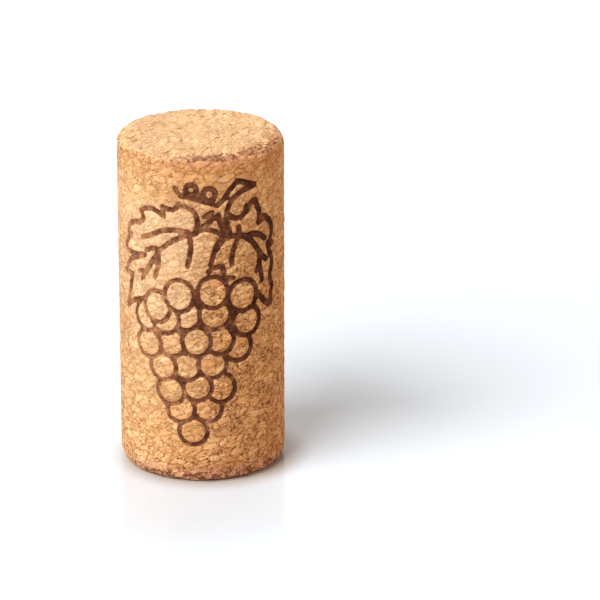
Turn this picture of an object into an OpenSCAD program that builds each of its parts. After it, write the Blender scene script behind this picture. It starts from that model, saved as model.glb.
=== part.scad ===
// Cork stopper: a straight bottle cork of pressed cork granules, with its mark burnt twice into the side.
// The cork stands on its foot. +Z is its axis, the origin is the middle of the foot and the upright mark faces -Y.

/* [Cork] */
// Diameter of the barrel
cork_d = 24; // [20:0.5:30]
// Length of the cork, from its foot to its top
cork_len = 49.5; // [46:0.5:60]
// Radius of the worn top edge
top_edge_r = 1.2; // [0.4:0.1:2]
// Radius of the worn foot edge
foot_edge_r = 1.6; // [0.4:0.1:2]

/* [Burnt mark] */
// Height of the whole mark, from the lowest grape to the cut end of the stalk
mark_h = 40; // [30:0.5:41]
// Height of the middle of the mark above the middle of the cork
mark_lift = 1.25; // [-1:0.25:1.5]
// Distance around the barrel from the upright mark to its upside-down copy
marks_apart = 31; // [28.5:0.5:34]
// Width of each burnt line of the leaves, stalk and tendril
line_w = 0.85; // [0.6:0.05:0.9]
// Width of the burnt line around each grape
grape_line_w = 0.7; // [0.55:0.05:0.9]
// Depth of each burnt line below the barrel
mark_depth = 0.15; // [0.05:0.05:0.5]
// Diameter of a grape, to the middle of its line, on a mark of full height
grape_d = 4.15; // [3.9:0.05:4.6]

/* [Hidden] */

$fn = 96;
cork_r = cork_d / 2;
cork_colour = [0.82, 0.63, 0.42];
burnt_colour = [0.30, 0.17, 0.11];

// The drawing below is 40 mm high. Its points are in mm, x to the right and y up from its lowest line.
drawing_h = 40;
drawing_scale = mark_h / drawing_h;
mark_foot_z = cork_len / 2 + mark_lift - mark_h / 2;
curve_steps = 3;        // points for each span of a curve
cap_steps = 5;          // edges of a line's round end
tip_taper = 0.12;       // how much finer a line's tip is than its start
ring_steps = 32;        // edges of a grape
curl_steps = 20;        // edges of a tendril's curl
past_surface = 1;       // how far the cutters stand clear of the barrel
burn_spread = 0.06;     // how far the burn spreads where two lines leave a slit

// Directions in which the mark's three fields are burnt in, in degrees around the cork from -Y
left_field_a = -32;
middle_field_a = -2;
right_field_a = 38;
field_half_a = 55;      // half the angle around the cork that the widest field takes up

// Grapes, [x, y, wider, taller], from the front of the bunch to the back: a grape hides those after it.
// The last two say how much wider and taller than grape_d the middle of its line is.
grapes = [
    [-3, 22.75, 0.2, 0.65], [1.9, 23.35, 0.25, 0.6], [6.5, 22.4, 0.45, 0.6], [-6.5, 20.7, 0.1, 0.6],
    [-5.2, 19, 0.2, 0.3], [-8.3, 19, 0.1, 0.5], [2.2, 20, 0.4, 0.4], [-2.1, 19.9, 0.4, 0.4],
    [7.1, 18.5, 0.2, 0.4],
    [-8, 14.8, 0.1, 0.1], [-0.5, 15.9, 0, 0.3], [-4.2, 15.5, 0, 0], [2.9, 16, 0, 0.1], [5.65, 14.7, 0.1, 0.1],
    [-5.6, 11.7, 0, 0], [1.8, 12.4, 0, 0], [-2, 12, 0, 0],
    [-0.4, 8.9, 0, 0], [-4.4, 8.1, 0, 0], [3, 8.7, 0, 0.2],
    [-2.9, 5.5, 0, 0], [1.1, 5.65, 0, 0],
    [-1.1, 2.1, 0, 0]
];

// Curls of the tendril, [x, y, diameter]
curls = [[-1.1, 38.8, 1.5], [1.5, 38.1, 1.8]];

// Each line below is a run of points that one smooth curve passes through. A corner starts a new line.
tendril_and_stalk = [
    [[-3.4, 38.9], [-2.6, 37.9], [-0.8, 37.5], [0.8, 37], [2.6, 36.4]],
    [[2.6, 36.4], [3.5, 37.1], [4.6, 38.7], [5.7, 39.7]],
    [[5.7, 39.7], [7, 39.3], [8.5, 38.7]],
    [[8.5, 38.7], [6.6, 38.2], [5, 37.2], [4.2, 35.8], [4, 34.2], [4.5, 32]]
];
stalk_foot = [
    [[0.1, 33], [1.4, 33.9], [2.8, 34.9]],
    [[2.8, 34.9], [3.1, 33.5], [3.8, 32]],
    [[0.9, 34.8], [1.9, 35.5]],
    [[-0.7, 32.2], [0.6, 32.9], [2.2, 32.6], [3.6, 31.8], [5, 31.6], [6.8, 31.4]]
];

left_leaf_edge = [
    [[-0.6, 32.4], [-0.2, 34], [-0.9, 35.7], [-2.9, 36.6]],
    [[-2.9, 36.6], [-3.6, 35.7], [-5.3, 35.8]],
    [[-5.4, 35.9], [-5.2, 34.5]],
    [[-5.2, 34.5], [-6.4, 35.2], [-8, 35.3], [-9.3, 34.6]],
    [[-9.3, 34.6], [-8.7, 33.6], [-9.5, 32.8]],
    [[-9.5, 32.8], [-10.9, 32.5], [-11.9, 31.8], [-12.2, 30.7]],
    [[-12.2, 30.7], [-11.5, 30.5]],
    [[-11.5, 30.5], [-12.3, 29.7], [-12.8, 28.8], [-12.9, 28]],
    [[-12.9, 28], [-11.3, 27.7], [-8.6, 28.1]],
    [[-8.6, 28.1], [-10.4, 27.3], [-12, 26.4], [-13.1, 24.5]],
    [[-13.1, 24.5], [-11.4, 24.5]],
    [[-11.4, 24.5], [-11.8, 22.6], [-12.3, 20.8], [-12.8, 19.3]],
    [[-12.8, 19.3], [-11, 20.6], [-8.9, 21.4]]
];
left_leaf_veins = [
    [[-0.8, 32.2], [-2.6, 32.6], [-5.2, 32.4], [-7.3, 31.4], [-9, 30.6]],
    [[-1.5, 32.1], [-3.8, 31], [-5.4, 29.8], [-6.2, 28.8]],
    [[-5.8, 29.4], [-7, 29.4], [-8.3, 28.9]],
    [[-6.2, 28.8], [-7.3, 27.3], [-8.3, 25.7], [-9.2, 24.4]],
    [[-8.3, 25.7], [-9.7, 25.4]],
    [[-6.1, 28.9], [-6.2, 27], [-6.8, 25]],
    [[-1.5, 32.2], [-1.2, 30], [-1.7, 27.3]]
];

right_leaf_edge = [
    [[4.2, 34.9], [5.1, 34.3], [6.2, 34.2], [6.9, 35], [7.1, 35.8]],
    [[7.2, 35], [7.8, 36], [8.6, 36.4], [9, 35.4], [9.5, 34.3], [9.3, 32.9]],
    [[9.3, 32.9], [10.3, 33.1]],
    [[10.3, 33.5], [11.3, 32.9], [12, 31.9], [12.2, 30.6], [11.8, 29.7], [12.3, 28.9]],
    [[12.3, 28.9], [11.3, 29.2]],
    [[11.3, 29.2], [11.6, 27.9], [12.1, 26.9], [12.2, 25.7]],
    [[12.2, 25.7], [11.7, 24.6], [11.9, 23.4], [12.3, 22.4], [11.9, 21.4], [12, 20.1]],
    [[12, 20.1], [11.3, 20], [10.2, 20.9], [9, 22.3]],
    [[3.5, 31.8], [2.6, 30.6], [2.1, 29.2], [1.6, 27.5]],
    [[4.4, 31.6], [3.3, 30.9], [2.4, 29.6]],
    [[1.3, 26.5], [2.1, 27.1], [3.3, 27.2]],
    [[3.3, 27.2], [3.6, 26], [3.9, 24.8]],
    [[3.9, 25.4], [4.9, 25.3]]
];
right_leaf_veins = [
    [[5.8, 32.8], [6, 31.5]],
    [[6, 31.5], [5.2, 30], [4.8, 28.6], [4.7, 27.4]],
    [[7, 31.2], [8.2, 31.4], [9.5, 30.9], [10.6, 30.1]],
    [[6.6, 31.4], [8, 30.3], [9, 29], [9.8, 27.8], [10.9, 26.9]],
    [[9.6, 28.1], [9.4, 26.6], [9.8, 25.2], [9.9, 23.9]],
    [[9.4, 26.6], [8.9, 25.6]]
];

// Catmull-Rom curve through a run of points
function between(a, b, c, d, t) =
    ((2 * b) + (c - a) * t + (2 * a - 5 * b + 4 * c - d) * t * t + (3 * b - a - 3 * c + d) * t * t * t) / 2;
function curve(run) = let (last = len(run) - 1) [
    for (i = [0 : last - 1], s = [0 : curve_steps - 1])
        between(run[max(i - 1, 0)], run[i], run[i + 1], run[min(i + 2, last)], s / curve_steps),
    run[last]
];

// Angle in which a path runs at point i
function heading(path, i) =
    let (step = path[min(i + 1, len(path) - 1)] - path[max(i - 1, 0)]) atan2(step.y, step.x);
function arc_about(centre, r, from_a, steps, sweep) =
    [for (s = [0 : steps]) centre + r * [cos(from_a + s * sweep / steps), sin(from_a + s * sweep / steps)]];

// Outline of a pen line with round ends: up its right side, round its tip, down its left and round its start.
// It gets a little finer towards its tip, so that the next line's round start covers the tip at a corner.
function half_width(path, i, w) = w / 2 * (1 - tip_taper * i / (len(path) - 1));
function pen_line(path, w) = let (last = len(path) - 1, right = -90, left = 90) concat(
    [for (i = [0 : last - 1]) beside(path, i, right, w)],
    arc_about(path[last], half_width(path, last, w), heading(path, last) + right, cap_steps, 180),
    [for (i = [last - 1 : -1 : 1]) beside(path, i, left, w)],
    arc_about(path[0], half_width(path, 0, w), heading(path, 0) + left, cap_steps, 180 - 180 / cap_steps)
);
function beside(path, i, turn, w) =
    let (a = heading(path, i) + turn) path[i] + half_width(path, i, w) * [cos(a), sin(a)];
function oval(centre, size, steps) = [
    for (s = [0 : steps - 1])
        centre + [size.x / 2 * cos(360 * s / steps), size.y / 2 * sin(360 * s / steps)]
];

// A flat outline drawn on the barrel, as it is seen along the direction a
function seen_along(a, outline) =
    [for (p = outline) [cork_r * sin(p.x / cork_r * 180 / PI - a), mark_foot_z + p.y]];

module drawn(a, outline) {
    polygon(seen_along(a, outline));
}

module lines(a, runs) {
    for (run = runs)
        drawn(a, pen_line(curve(drawing_scale * run), line_w));
}

module band(a, centre, size, w, steps) {
    difference() {
        drawn(a, oval(centre, size + [w, w], steps));
        drawn(a, oval(centre, size - [w, w], steps));
    }
}

function grape_centre(i) = drawing_scale * [grapes[i][0], grapes[i][1]];
function grape_size(i) = drawing_scale * [grape_d + grapes[i][2], grape_d + grapes[i][3]];

// A grape's ring, less what the grapes in front of it hide
module grape(a, i) {
    difference() {
        band(a, grape_centre(i), grape_size(i), grape_line_w, ring_steps);
        for (j = [0 : 1 : i - 1])
            if (norm(grape_centre(j) - grape_centre(i)) < max(grape_size(i)) + 2 * grape_line_w)
                drawn(a, oval(grape_centre(j), grape_size(j), ring_steps));
    }
}

module bunch(a) {
    for (i = [0 : len(grapes) - 1])
        grape(a, i);
}

module curled_tendril(a) {
    for (c = curls)
        band(a, drawing_scale * [c.x, c.y], drawing_scale * [c.z, c.z], line_w, curl_steps);
}

// One field of the mark, cut straight in along the direction a, and as deep as its lines are burnt.
// The two offsets join its lines and close the slits between them, as the burn spreads there.
module field(a) {
    difference() {
        rotate([0, 0, a])
            rotate([90, 0, 0])
                translate([0, 0, cork_r * cos(field_half_a)])
                    linear_extrude(cork_r * (1 - cos(field_half_a)) + past_surface)
                        offset(delta = -burn_spread)
                            offset(delta = burn_spread)
                                children();
        cylinder(h = cork_len, r = cork_r - mark_depth);
    }
}

// All the lines of one mark
module burnt_mark() {
    field(left_field_a) {
        lines(left_field_a, left_leaf_edge);
        lines(left_field_a, left_leaf_veins);
    }
    field(middle_field_a) {
        bunch(middle_field_a);
        curled_tendril(middle_field_a);
        lines(middle_field_a, tendril_and_stalk);
        lines(middle_field_a, stalk_foot);
    }
    field(right_field_a) {
        lines(right_field_a, right_leaf_edge);
        lines(right_field_a, right_leaf_veins);
    }
}

// The mark, and its copy that stands on its head further round the barrel
module burnt_marks() {
    burnt_mark();
    rotate([0, 0, -marks_apart / cork_r * 180 / PI])
        translate([0, 0, cork_len])
            rotate([0, 180, 0])
                burnt_mark();
}

// The barrel with its two worn edges
module barrel() {
    rotate_extrude()
        union() {
            square([cork_r - foot_edge_r, cork_len / 2]);
            translate([0, foot_edge_r])
                square([cork_r, cork_len - foot_edge_r - top_edge_r]);
            translate([0, cork_len / 2])
                square([cork_r - top_edge_r, cork_len / 2]);
            translate([cork_r - foot_edge_r, foot_edge_r])
                intersection() {
                    circle(foot_edge_r);
                    translate([0, -foot_edge_r])
                        square(foot_edge_r);
                }
            translate([cork_r - top_edge_r, cork_len - top_edge_r])
                intersection() {
                    circle(top_edge_r);
                    square(top_edge_r);
                }
        }
}

module stopper() {
    difference() {
        color(cork_colour) barrel();
        color(burnt_colour) burnt_marks();
    }
}

stopper();
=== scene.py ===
# %% [markdown]
# # A cork stopper
# This scene dresses one bottle cork of pressed granules. The solid model gives its size, its worn edges and
# the lines of the marks that are burnt into its side. Blender adds what the eye knows cork by: granules that
# differ in colour and height, cracks between them, pits, crumbly rims and the mottled brown of the burn.
# Every length below is in millimetres until a mesh, the floor or the camera needs metres.

# %% Load the frame
import math

import bpy
import numpy as np
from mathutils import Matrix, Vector
from mathutils.bvhtree import BVHTree
from mathutils.kdtree import KDTree


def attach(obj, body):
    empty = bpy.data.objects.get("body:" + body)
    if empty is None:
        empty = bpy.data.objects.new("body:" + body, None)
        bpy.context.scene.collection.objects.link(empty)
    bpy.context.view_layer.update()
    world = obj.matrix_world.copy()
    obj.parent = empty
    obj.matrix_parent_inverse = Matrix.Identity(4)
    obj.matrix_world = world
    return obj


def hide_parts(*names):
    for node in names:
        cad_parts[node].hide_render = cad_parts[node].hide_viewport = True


MM = 0.001                          # one millimetre in metres
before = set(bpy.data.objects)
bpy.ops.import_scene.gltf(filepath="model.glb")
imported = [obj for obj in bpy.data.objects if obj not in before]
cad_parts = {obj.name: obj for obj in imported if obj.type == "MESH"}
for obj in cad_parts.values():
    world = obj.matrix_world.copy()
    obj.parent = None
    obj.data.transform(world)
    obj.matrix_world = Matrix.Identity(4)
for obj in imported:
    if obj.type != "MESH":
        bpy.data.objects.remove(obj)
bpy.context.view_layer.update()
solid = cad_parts["stopper"]
print("the solid has", len(solid.data.polygons), "faces")

# %% [markdown]
# The cork is round all over, so its whole form is a profile: a radius, a length and two rounded edges. They
# are measured on the solid, so that this mesh follows it if the solid changes. An edge's radius is what the
# flat face lacks of the barrel's radius.

# %% Measure the cork and its marks
places = np.empty(len(solid.data.vertices) * 3)
solid.data.vertices.foreach_get("co", places)
places = places.reshape(-1, 3) / MM
away = np.hypot(places[:, 0], places[:, 1])
TOUCH = 0.001                       # a point this near a flat face lies on it, mm
PAST = 0.01                         # and one this far past a rounded edge lies on the barrel
BARREL_R = away.max()
LENGTH = places[:, 2].max()
TOP_EDGE = BARREL_R - away[places[:, 2] > LENGTH - TOUCH].max()
FOOT_EDGE = BARREL_R - away[places[:, 2] < TOUCH].max()
on_barrel = (places[:, 2] > FOOT_EDGE + PAST) & (places[:, 2] < LENGTH - TOP_EDGE - PAST)
BURN_DEPTH = BARREL_R - away[on_barrel].min()
print(f"radius {BARREL_R:.2f}, length {LENGTH:.2f}, edges {FOOT_EDGE:.2f} and {TOP_EDGE:.2f} mm")
print(f"the marks are burnt {BURN_DEPTH:.2f} mm deep")

# %% [markdown]
# Cork needs a fine, even mesh, because its relief goes up and down every half millimetre. A subdivided
# cylinder would waste faces on its caps, and a remesh would leave no rows to follow. So the mesh is built
# from rings up the profile. On the two flat faces the rings get half as many points whenever the points come
# too close, which keeps the faces about as small as those of the side.

# %% List the rings from the middle of the foot to the middle of the top
COLUMNS = 336                       # points round the barrel, a number that can be halved four times
PITCH = 0.222                       # distance between two rings, mm
CROWDED = 0.65                      # points are too close below this share of the pitch

def flat_rings(outer_r, z):
    """Rings over a flat face, from its rim inwards, as (points, radius, height)."""
    rings, count = [], COLUMNS
    steps = round(outer_r / PITCH)
    for step in range(1, steps):
        r = outer_r * (1 - step / steps)
        if 2 * math.pi * r / count < CROWDED * PITCH and count % 2 == 0:
            count //= 2
        rings.append((count, r, z))
    return rings

def edge_rings(edge_r, z_middle, upward):
    """Rings round a rounded edge, from the side towards the flat face."""
    rings = []
    steps = round(edge_r * math.pi / 2 / PITCH)
    for step in range(steps + 1):
        turn = step / steps * math.pi / 2
        r = BARREL_R - edge_r + edge_r * math.cos(turn)
        rings.append((COLUMNS, r, z_middle + upward * edge_r * math.sin(turn)))
    return rings

side_low, side_high = FOOT_EDGE, LENGTH - TOP_EDGE
side_steps = round((side_high - side_low) / PITCH)
rings = flat_rings(BARREL_R - FOOT_EDGE, 0)[::-1] + edge_rings(FOOT_EDGE, side_low, -1)[::-1]
for step in range(1, side_steps):
    rings.append((COLUMNS, BARREL_R, side_low + (side_high - side_low) * step / side_steps))
rings += edge_rings(TOP_EDGE, side_high, 1) + flat_rings(BARREL_R - TOP_EDGE, LENGTH)
print(len(rings), "rings")

# %% Join the rings to a closed mesh
def joined(lower, upper, first_low, first_up):
    """Faces between two rings, where one may have twice the points of the other."""
    faces = []
    if lower == upper:
        for k in range(lower):
            n = (k + 1) % lower
            faces.append((first_low + k, first_low + n, first_up + n, first_up + k))
        return faces
    few, first_few, first_many = lower, first_low, first_up
    if upper < lower:
        few, first_few, first_many = upper, first_up, first_low
    for k in range(few):
        n, left, middle, right = (k + 1) % few, 2 * k, 2 * k + 1, (2 * k + 2) % (2 * few)
        trio = [
            (first_few + k, first_many + middle, first_many + left),
            (first_few + k, first_few + n, first_many + middle),
            (first_few + n, first_many + right, first_many + middle),
        ]
        faces += trio if lower < upper else [t[::-1] for t in trio]
    return faces

# The number of each ring's first point, after the point in the middle of the foot
starts = np.cumsum([1] + [count for count, _, _ in rings])
points = [(0, 0, 0)]
for count, r, z in rings:
    for k in range(count):
        a = 2 * math.pi * k / count
        points.append((r * math.sin(a), -r * math.cos(a), z))
points.append((0, 0, LENGTH))
faces = [(0, starts[0] + (k + 1) % rings[0][0], starts[0] + k) for k in range(rings[0][0])]
for i in range(len(rings) - 1):
    faces += joined(rings[i][0], rings[i + 1][0], starts[i], starts[i + 1])
last = len(points) - 1
faces += [(last, starts[-2] + k, starts[-2] + (k + 1) % rings[-1][0]) for k in range(rings[-1][0])]
points = np.array(points)
print(len(points), "points,", sum(len(face) - 2 for face in faces), "triangles")

# %% [markdown]
# The marks come from the solid, where each burnt line is a shallow groove. A groove's rim is where the barrel
# ends, so every triangle of a groove's wall has two corners on the barrel and one below it. Points along
# those rims give each point of the new mesh its distance to the nearest burnt edge, and a ray towards the
# axis says whether it is in a groove. The material can then draw an edge that is sharper than the mesh.

# %% Set points along the rims of the burnt lines
corners = np.empty(len(solid.data.polygons) * 3, dtype=int)
solid.data.polygons.foreach_get("vertices", corners)
corners = corners.reshape(-1, 3)
UNBURNT_R = BARREL_R - 0.002        # a corner farther out than this lies on the barrel
high_up = away[corners] > UNBURNT_R
walls = corners[(high_up.sum(1) == 2) & on_barrel[corners].all(1)]
burnt_edges = np.array([wall[away[wall] > UNBURNT_R] for wall in walls])
RIM_STEP = 0.02                     # distance between two points along a rim, mm
rim_points = []
for start, end in places[burnt_edges]:
    parts = max(1, round(np.linalg.norm(end - start) / RIM_STEP))
    rim_points += [start + (end - start) * s / parts for s in range(parts)]
nearest_rim = KDTree(len(rim_points))
for i, place in enumerate(rim_points):
    nearest_rim.insert(place, i)
nearest_rim.balance()
print(len(rim_points), "points along the rims")

# %% Measure how far each point lies from the burnt lines
FARTHEST = 1.0                      # distances beyond this don't matter, mm
RAY_START = BARREL_R + 1.0          # each ray starts outside the barrel
surface = BVHTree.FromPolygons([Vector(p) for p in places], corners.tolist())
burn = np.full(len(points), -FARTHEST)
for i, (x, y, z) in enumerate(points):
    if not side_low < z < side_high:
        continue
    _, _, gap = nearest_rim.find((x, y, z))
    outwards = Vector((x, y, 0)).normalized()
    hit, _, _, _ = surface.ray_cast(Vector((0, 0, z)) + outwards * RAY_START, -outwards)
    in_groove = math.hypot(hit.x, hit.y) < BARREL_R - BURN_DEPTH / 2
    burn[i] = min(gap, FARTHEST) * (1 if in_groove else -1)
print(int((burn > 0).sum()), "points in the burnt lines")

# %% Scorch the specks of cork that the lines leave between them
SPECK = 0.2                         # half the width of such a speck, mm
NEAR = 2                            # a speck is looked for this many mesh points away
on_side = [i for i, (_, r, z) in enumerate(rings) if r == BARREL_R and side_low < z < side_high]
grid = burn[starts[on_side[0]]:starts[on_side[-1] + 1]].reshape(-1, COLUMNS)
farthest_near = -grid
for rows in range(-NEAR, NEAR + 1):
    for columns in range(-NEAR, NEAR + 1):
        farthest_near = np.maximum(farthest_near, -np.roll(grid, (rows, columns), (0, 1)))
specks = (grid < 0) & (farthest_near < SPECK)
grid[specks] = BURN_DEPTH / 3       # so a speck is sunk about half as deep as the lines
print(int(specks.sum()), "points in specks")

# %% Make the mesh, with its place and its distance to the burnt lines on every point
mesh = bpy.data.meshes.new("cork_stopper")
mesh.from_pydata((points * MM).tolist(), [], faces)
mesh.shade_smooth()
mesh.attributes.new("place_mm", "FLOAT_VECTOR", "POINT").data.foreach_set("vector", points.ravel())
mesh.attributes.new("burn_mm", "FLOAT", "POINT").data.foreach_set("value", burn)
cork = bpy.data.objects.new("cork_stopper", mesh)
bpy.context.scene.collection.objects.link(cork)
print("mesh", mesh.name, "has", len(mesh.polygons), "faces")

# %% [markdown]
# Relief and colour must agree: a crack is both lower and darker. So one function adds the pattern of the
# granules to any node tree, and both the geometry nodes that push the surface in and out and the material
# that colours it call it. The pattern is three-dimensional, as it is in a real block of pressed cork.
#
# A small helper adds a node, sets its properties and fills or links its inputs. A node that is given as a
# value stands for its first output in use. A Map Range with the EASED setting starts and ends softly. A Mix
# with the RGBA setting takes a factor as input 0 and two colours as 6 and 7, and a Mix of plain numbers takes
# them as 2 and 3. Places are in millimetres here, so a noise or a cell texture whose scale is 1 / SIZE draws
# things of about that many millimetres. Most of what varies over real cork comes in patches, so a second
# helper makes patches from a noise and a range of its levels.

# %% Helpers for nodes and for patches
EASED = {"interpolation_type": "SMOOTHSTEP"}
RGBA = {"data_type": "RGBA"}

def add_node(tree, kind, inputs=None, **settings):
    """Adds a node to a tree. A value that is a node or a socket is linked, and any other value is set."""
    node = tree.nodes.new(kind)
    for name, value in settings.items():
        setattr(node, name, value)
    for key, value in (inputs or {}).items():
        if isinstance(value, bpy.types.Node):
            value = next(socket for socket in value.outputs if socket.enabled)
        if isinstance(value, bpy.types.NodeSocket):
            tree.links.new(value, node.inputs[key])
        else:
            node.inputs[key].default_value = value
    return node

def patches(tree, place, size, detail=2.0, rough=0.5, levels=(0.0, 1.0), least=0.0, most=1.0, **easing):
    """Patches of about that size, in mm. They go from least to most between two levels of a noise."""
    noise = add_node(tree, "ShaderNodeTexNoise", {
        "Vector": place, "Scale": 1 / size, "Detail": detail, "Roughness": rough})
    return add_node(tree, "ShaderNodeMapRange", {
        "Value": noise, "From Min": levels[0], "From Max": levels[1],
        "To Min": least, "To Max": most}, **easing)

# %% Where the cork is crumbly: the two rims
RIM = 1.7                           # how far the crumbly rims reach along each face, mm
RIM_FULL = 0.6                      # they are crumbly in full this near the barrel's side, mm
TOP_BAND = (RIM + 1.0, 1.0)         # depths under the top at which its rim ends and is full, mm
FOOT_BAND = (RIM + 1.3, 1.1)        # heights above the foot at which its rim ends and is full, mm
WORN_EDGE = (0.75, -0.66, 0.0)      # the top's rim is worn down most in this direction
WORN_FULL = 0.85                    # and it is worn in full at this share of the radius
WORN_IN, WORN_DOWN = 1.6, 1.0       # there the crumbs reach this much farther in, and less far down, mm

def rim_masks(tree, place):
    """Nodes that rise from 0 to 1 towards the rim of the top, the rim of the foot and the worn edge."""
    height = add_node(tree, "ShaderNodeSeparateXYZ", {0: place}).outputs["Z"]
    flat = add_node(tree, "ShaderNodeVectorMath", {0: place, 1: (1.0, 1.0, 0.0)}, operation="MULTIPLY")
    from_axis = add_node(tree, "ShaderNodeVectorMath", {0: flat}, operation="LENGTH")
    worn = add_node(tree, "ShaderNodeVectorMath", {0: place, 1: WORN_EDGE}, operation="DOT_PRODUCT")
    worn = add_node(tree, "ShaderNodeMapRange", {
        "Value": worn, "From Min": 0.0, "From Max": WORN_FULL * BARREL_R}, **EASED)
    farther = add_node(tree, "ShaderNodeMath", {0: worn, 1: WORN_IN, 2: from_axis}, operation="MULTIPLY_ADD")
    lower = add_node(tree, "ShaderNodeMath", {0: worn, 1: -WORN_DOWN, 2: height}, operation="MULTIPLY_ADD")
    top_start, top_full = (LENGTH - depth for depth in TOP_BAND)
    foot_start, foot_full = FOOT_BAND
    masks = []
    for out_at, up_at, start, full in (
            (farther, lower, top_start, top_full),
            (from_axis, height, foot_start, foot_full)):
        outer = add_node(tree, "ShaderNodeMapRange", {
            "Value": out_at, "From Min": BARREL_R - RIM - RIM_FULL, "From Max": BARREL_R - RIM_FULL}, **EASED)
        along = add_node(tree, "ShaderNodeMapRange", {
            "Value": up_at, "From Min": start, "From Max": full}, **EASED)
        masks.append(add_node(tree, "ShaderNodeMath", {0: along, 1: outer}, operation="MULTIPLY"))
    edge = add_node(tree, "ShaderNodeMath", {0: masks[0], 1: worn}, operation="MULTIPLY")
    return masks + [edge]

print("crumbs break out of the rims within", TOP_BAND[0], "mm of the top and", FOOT_BAND[0], "mm of the foot")

# %% The pattern of pressed granules
GRANULE = 1.35                      # usual size of a coarse granule, mm
CRUMB = 0.65                        # and of a fine one
FINE_SHARE = 0.4                    # this share of the coarse granules is split into fine ones
LEAN = math.radians(20)             # pressing lays the granules down, a little to one side
SQUEEZE = (0.75, 0.9, 1.45)         # and makes them wider than they are high
END_DEPTH = 0.4                     # a cut face shows granules lengthways down to this depth, mm
END_STRETCH = (0.25, -0.45, 0.0)    # there they are narrower and longer by these shares
HALF = (0.5, 0.5, 0.5)              # the middle of a noise's or a cell's colour
WANDERS = ((1 / 0.8, 0.9), (1 / 3.5, 0.3))  # size of the bends in their edges, and how far these swing, mm

def granules(tree, place):
    """The values that the pattern of the granules has at a place in mm, by their names."""
    out = {}
    above = add_node(tree, "ShaderNodeSeparateXYZ", {0: place}).outputs["Z"]
    below = add_node(tree, "ShaderNodeMath", {0: LENGTH, 1: above}, operation="SUBTRACT")
    from_end = add_node(tree, "ShaderNodeMath", {0: above, 1: below}, operation="MINIMUM")
    is_end = add_node(tree, "ShaderNodeMath", {0: from_end, 1: END_DEPTH}, operation="LESS_THAN")
    longer = add_node(tree, "ShaderNodeVectorMath", {0: place, 1: END_STRETCH}, operation="MULTIPLY")
    longer = add_node(tree, "ShaderNodeVectorMath", {0: longer, "Scale": is_end}, operation="SCALE")
    spread = add_node(tree, "ShaderNodeVectorMath", {0: place, 1: longer}, operation="ADD")
    laid = add_node(tree, "ShaderNodeVectorRotate", {
        "Vector": spread, "Axis": (0.0, 1.0, 0.0), "Angle": LEAN}, rotation_type="AXIS_ANGLE")
    laid = add_node(tree, "ShaderNodeVectorMath", {0: laid, 1: SQUEEZE}, operation="MULTIPLY")
    for size, reach in WANDERS:
        wander = add_node(tree, "ShaderNodeTexNoise", {"Vector": place, "Scale": 1 / size, "Detail": 2.0})
        wander = add_node(tree, "ShaderNodeVectorMath", {
            0: wander.outputs["Color"], 1: HALF}, operation="SUBTRACT")
        wander = add_node(tree, "ShaderNodeVectorMath", {0: wander, "Scale": reach}, operation="SCALE")
        laid = add_node(tree, "ShaderNodeVectorMath", {0: laid, 1: wander}, operation="ADD")

    # Each granule is a cell with a colour of its own, a distance to its edge and a tilt
    for name, size in (("coarse", GRANULE), ("fine", CRUMB)):
        cell = add_node(tree, "ShaderNodeTexVoronoi", {"Vector": laid, "Scale": 1 / size}, feature="F1")
        edge = add_node(tree, "ShaderNodeTexVoronoi", {
            "Vector": laid, "Scale": 1 / size}, feature="DISTANCE_TO_EDGE")
        gap = add_node(tree, "ShaderNodeMath", {0: edge.outputs["Distance"], 1: size}, operation="MULTIPLY")
        middle = add_node(tree, "ShaderNodeVectorMath", {
            0: laid, 1: cell.outputs["Position"]}, operation="SUBTRACT")
        slope = add_node(tree, "ShaderNodeVectorMath", {
            0: cell.outputs["Color"], 1: HALF}, operation="SUBTRACT")
        tilt = add_node(tree, "ShaderNodeVectorMath", {0: middle, 1: slope}, operation="DOT_PRODUCT")
        out[name], out[name + " gap"], out[name + " tilt"] = cell.outputs["Color"], gap, tilt

    # A share of the coarse granules is made of fine ones
    out["top rim"], out["foot rim"], out["worn edge"] = rim_masks(tree, place)
    rim = add_node(tree, "ShaderNodeMath", {0: out["top rim"], 1: out["foot rim"]}, operation="MAXIMUM")
    pick = add_node(tree, "ShaderNodeSeparateXYZ", {0: out["coarse"]}).outputs["Z"]
    is_fine = add_node(tree, "ShaderNodeMath", {0: pick, 1: 1 - FINE_SHARE}, operation="GREATER_THAN")
    nearer = add_node(tree, "ShaderNodeMath", {0: out["coarse gap"], 1: out["fine gap"]}, operation="MINIMUM")
    gap = add_node(tree, "ShaderNodeMix", {0: is_fine, 2: out["coarse gap"], 3: nearer}, data_type="FLOAT")
    tilt = add_node(tree, "ShaderNodeMix", {
        0: is_fine, 2: out["coarse tilt"], 3: out["fine tilt"]}, data_type="FLOAT")
    granule = add_node(tree, "ShaderNodeMix", {0: is_fine, 6: out["coarse"], 7: out["fine"]}, **RGBA)
    out.update({"laid": laid, "rim": rim, "gap": gap, "tilt": tilt, "granule": granule})
    return out

print("granules of", GRANULE, "mm and crumbs of", CRUMB, "mm")

# %% [markdown]
# A real granule ends in a worn facet that stands a few hundredths of a millimetre above or below its
# neighbours, the glue between them has sunk, and crumbs have broken out of the rims. A bump in the material
# would look right from afar, but the outline would stay straight, and a mesh that is taken on its own would
# lose it all. So geometry nodes push the points in and out, and the result is kept as a plain mesh.

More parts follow.
